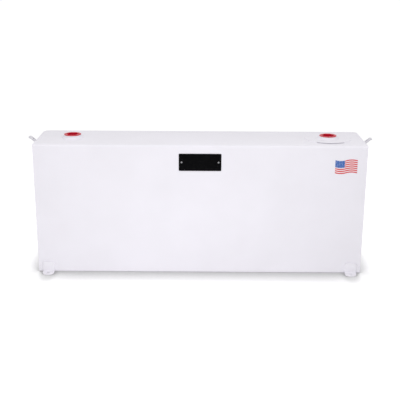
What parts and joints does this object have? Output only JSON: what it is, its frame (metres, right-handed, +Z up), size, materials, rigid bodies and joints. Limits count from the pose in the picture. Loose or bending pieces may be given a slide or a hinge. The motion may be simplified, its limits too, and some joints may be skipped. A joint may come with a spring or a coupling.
{
  "type": "truck bed transfer tank",
  "caption": "Slim upright steel fuel tank for a truck bed, white, with screw plugs in its fill and pump bungs, mounting feet and lifting lugs.",
  "frame": {"origin": "middle of the base, on the surface that the tank stands on", "axes": "+X along the length, towards the end with the pump bung; the front face towards -Y; +Z up"},
  "size_m": [1.2898, 0.3114, 0.5088],
  "materials": {
    "white_coat": "smooth white powder coat",
    "bare_steel": "bare rolled steel",
    "red_plastic": "moulded, half gloss",
    "black_plate": "satin black",
    "rivet": "bright",
    "flag_film": "printed film"
  },
  "bodies": {
    "tank": {"front_shell": "white_coat", "back_shell": "white_coat", "end_weld_left": "white_coat", "end_weld_right": "white_coat", "back_weld_top": "white_coat", "back_weld_bottom": "white_coat", "baffle_left": "bare_steel", "baffle_right": "bare_steel", "fill_bung": "white_coat", "pump_bung": "white_coat", "pump_pad": "white_coat", "foot_front_left": "white_coat", "foot_front_right": "white_coat", "foot_back_left": "white_coat", "foot_back_right": "white_coat", "lifting_lug_left": "white_coat", "lifting_lug_right": "white_coat", "nameplate": "black_plate", "nameplate_rivet_left": "rivet", "nameplate_rivet_right": "rivet", "flag_decal": "flag_film"},
    "fill_plug": {"fill_plug": "red_plastic"},
    "pump_plug": {"pump_plug": "red_plastic"}
  },
  "joints": [
    {"name": "fill_plug_lift", "type": "slide", "parent": "tank", "child": "fill_plug", "axis": [0, 0, 1], "range_m": [0, 0.05]},
    {"name": "pump_plug_lift", "type": "slide", "parent": "tank", "child": "pump_plug", "axis": [0, 0, 1], "range_m": [0, 0.05]}
  ]
}
